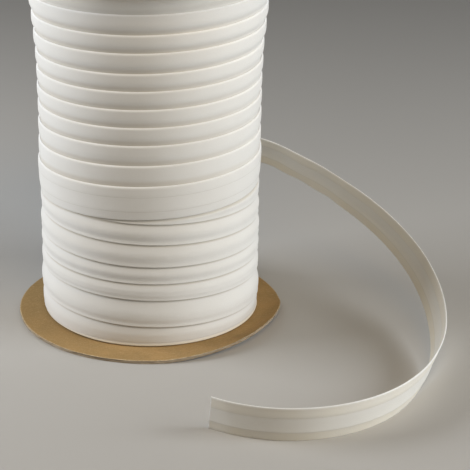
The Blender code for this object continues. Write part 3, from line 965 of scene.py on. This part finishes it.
# Operators

def tape_material(context):
    """The finish of the tape, made once and shared by all of its pieces."""
    return bpy.data.materials.get("bias_tape") or tape_finish(context.scene.roll_tape)


def add_strip(context, name, node, make_rings):
    """Build one strip of tape and tie it to the frame."""
    rings, along, across, marks = make_rings(context.scene.roll_tape)
    piece = closed_strip(name, rings, along, across, marks, tape_material(context))
    return belongs(piece, node)


class AddUpperTurns(bpy.types.Operator):
    """Add the layer that comes down the roll and ends in a full-width wrap"""

    bl_idname = "mesh.add_upper_turns"
    bl_label = "Upper turns"

    def execute(self, context):
        add_strip(context, "upper_turns", "wound_tape", upper_rings)
        return {"FINISHED"}


class AddLowerTurns(bpy.types.Operator):
    """Add the layer that climbs the roll below the full-width wrap"""

    bl_idname = "mesh.add_lower_turns"
    bl_label = "Lower turns"

    def execute(self, context):
        add_strip(context, "lower_turns", "wound_tape", lower_rings)
        return {"FINISHED"}


class AddInnerWinding(bpy.types.Operator):
    """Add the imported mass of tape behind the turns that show"""

    bl_idname = "mesh.add_inner_winding"
    bl_label = "Inner winding"

    def execute(self, context):
        bpy.ops.object.select_all(action="DESELECT")
        low, high = INNER_LOW * MM, INNER_HIGH * MM
        bpy.ops.mesh.primitive_cylinder_add(
            vertices=96, radius=INNER_RADIUS * MM, depth=high - low,
            location=(0.0, 0.0, 0.5 * (low + high)),
        )
        piece = bpy.context.object
        piece.name = piece.data.name = "inner_winding"
        bpy.ops.object.transform_apply(location=True, rotation=False, scale=False)
        bpy.ops.object.mode_set(mode="EDIT")
        pick(piece, lambda edge: abs(edge.verts[0].co.z - edge.verts[1].co.z) > 0.1, "EDGE")
        bpy.ops.mesh.subdivide(number_cuts=26)
        pick(piece, lambda edge: min(vert.co.z for vert in edge.verts) > high - 1e-5
             or max(vert.co.z for vert in edge.verts) < low + 1e-5, "EDGE")
        bpy.ops.mesh.bevel(offset=1.6 * MM, segments=3, affect="EDGES")
        bpy.ops.object.mode_set(mode="OBJECT")

        # It follows the upper layer's flare from just below that layer.
        turns = np.arange(len(UPPER_TURNS)) - 1.0
        for vert in piece.data.vertices:
            height = vert.co.z / MM
            if height > 110.0:
                turn = float(np.interp(height, UPPER_TURNS[:, EDGE], turns))
                wide = float(turn_value(UPPER_TURNS, CROWN, turn - 1.0)) - 3.0
                grow = mix(1.0, wide / INNER_RADIUS, float(ease(height, 110.0, 150.0)))
                vert.co.x *= grow
                vert.co.y *= grow
        piece.data.shade_smooth()
        bpy.ops.object.shade_smooth_by_angle(angle=math.radians(35.0))
        piece.data.materials.append(tape_material(context))
        unwrap_round(piece)
        belongs(piece, "wound_tape")
        return {"FINISHED"}


def unwrap_round(piece):
    """Give a round piece the tape's UV map, in metres round it and up it."""
    mesh = piece.data
    layer = mesh.uv_layers.get("tape") or mesh.uv_layers.new(name="tape")
    for loop in mesh.loops:
        co = mesh.vertices[loop.vertex_index].co
        layer.data[loop.index].uv = (0.08 * math.atan2(co.x, -co.y), co.z % (TAPE_WIDTH * MM))
    for other in [uv for uv in mesh.uv_layers if uv.name != "tape"]:
        mesh.uv_layers.remove(other)


class AddLooseTape(bpy.types.Operator):
    """Add the loose end that curls round to the front and stands on its edge"""

    bl_idname = "mesh.add_loose_tape"
    bl_label = "Loose end"

    def execute(self, context):
        piece = add_strip(context, "loose_tape", "loose_end", loose_rings)
        return {"FINISHED"}


class AddCardDiscs(bpy.types.Operator):
    """Add the two kraft card discs, the lower one with its bent rim"""

    bl_idname = "mesh.add_card_discs"
    bl_label = "Card discs"

    def execute(self, context):
        settings = context.scene.roll_card
        finish = card_finish(settings)
        for name, node, bent in (
            ("lower_card", "bottom_flange", True),
            ("upper_card", "top_flange", False),
        ):
            disc = card_disc(name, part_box(node)[0].z, settings, bent)
            disc.data.materials.clear()
            disc.data.materials.append(finish)
            belongs(disc, node)
        return {"FINISHED"}


class AddStudio(bpy.types.Operator):
    """Add the plain floor, the soft lights and the camera"""

    bl_idname = "scene.add_tape_studio"
    bl_label = "Studio"

    def execute(self, context):
        settings = context.scene.roll_studio
        bpy.ops.object.select_all(action="DESELECT")
        bpy.ops.mesh.primitive_plane_add(size=9.0, location=(0.0, 0.0, 0.0))
        floor = bpy.context.object
        floor.name = floor.data.name = "floor"
        floor.data.materials.append(plain_finish("pale_floor", settings.floor_colour, 0.9))

        world = bpy.data.worlds.new("pale_room")
        world.use_nodes = True
        background = world.node_tree.nodes["Background"]
        background.inputs["Color"].default_value = ROOM_COLOUR
        background.inputs["Strength"].default_value = settings.surround
        context.scene.world = world

        powers = (settings.left_light, settings.right_light, settings.top_light)
        for (name, (place, size, colour)), power in zip(LAMPS.items(), powers):
            bpy.ops.object.light_add(type="AREA", location=place)
            lamp = bpy.context.object
            lamp.name = lamp.data.name = name
            lamp.data.shape = "RECTANGLE"
            lamp.data.size, lamp.data.size_y = size
            lamp.data.energy = power
            lamp.data.color = colour
            lamp.rotation_euler = (LAMP_AIM - Vector(place)).to_track_quat("-Z", "Y").to_euler()

        bpy.ops.object.camera_add(location=CAMERA_PLACE)
        camera = bpy.context.object
        camera.name = camera.data.name = "camera"
        pitch, yaw, roll = (math.radians(angle) for angle in CAMERA_ANGLES)
        ahead = Vector((math.sin(yaw), math.cos(yaw), 0.0))
        forward = ahead * math.cos(pitch) - Vector((0.0, 0.0, math.sin(pitch)))
        level = Vector((math.cos(yaw), -math.sin(yaw), 0.0))
        up = level.cross(forward)
        right = level * math.cos(roll) + up * math.sin(roll)
        above = up * math.cos(roll) - level * math.sin(roll)
        turned = Matrix((right, above, -forward)).transposed()
        camera.rotation_euler = turned.to_euler()
        camera.data.sensor_width = 36.0
        camera.data.lens = settings.focal_length
        camera.data.clip_end = 20.0
        context.scene.camera = camera
        context.scene.view_settings.view_transform = "Standard"
        return {"FINISHED"}


class ROLL_PT_bias_tape(bpy.types.Panel):
    """Sidebar panel with the roll's pieces"""

    bl_idname = "ROLL_PT_bias_tape"
    bl_label = "Roll of bias tape"
    bl_space_type = "VIEW_3D"
    bl_region_type = "UI"
    bl_category = "Bias tape"

    def draw(self, context):
        scene = context.scene
        for settings in (scene.roll_tape, scene.roll_card, scene.roll_studio):
            box = self.layout.box()
            for key in settings.bl_rna.properties.keys():
                if key not in {"rna_type", "name"}:
                    box.prop(settings, key)
        for operator in OPERATORS:
            self.layout.operator(operator.bl_idname)


GROUPS = (TapeSettings, CardSettings, StudioSettings)
OPERATORS = (AddUpperTurns, AddLowerTurns, AddInnerWinding, AddLooseTape, AddCardDiscs, AddStudio)
CLASSES = (*GROUPS, *OPERATORS, ROLL_PT_bias_tape)


def register():
    for item in CLASSES:
        bpy.utils.register_class(item)
    bpy.types.Scene.roll_tape = bpy.props.PointerProperty(type=TapeSettings)
    bpy.types.Scene.roll_card = bpy.props.PointerProperty(type=CardSettings)
    bpy.types.Scene.roll_studio = bpy.props.PointerProperty(type=StudioSettings)


def unregister():
    for key in ("roll_tape", "roll_card", "roll_studio"):
        delattr(bpy.types.Scene, key)
    for item in reversed(CLASSES):
        bpy.utils.unregister_class(item)


def main():
    register()
    bpy.ops.mesh.add_upper_turns()
    bpy.ops.mesh.add_lower_turns()
    bpy.ops.mesh.add_inner_winding()
    bpy.ops.mesh.add_loose_tape()
    bpy.ops.mesh.add_card_discs()
    bpy.ops.scene.add_tape_studio()


if __name__ == "__main__":
    main()
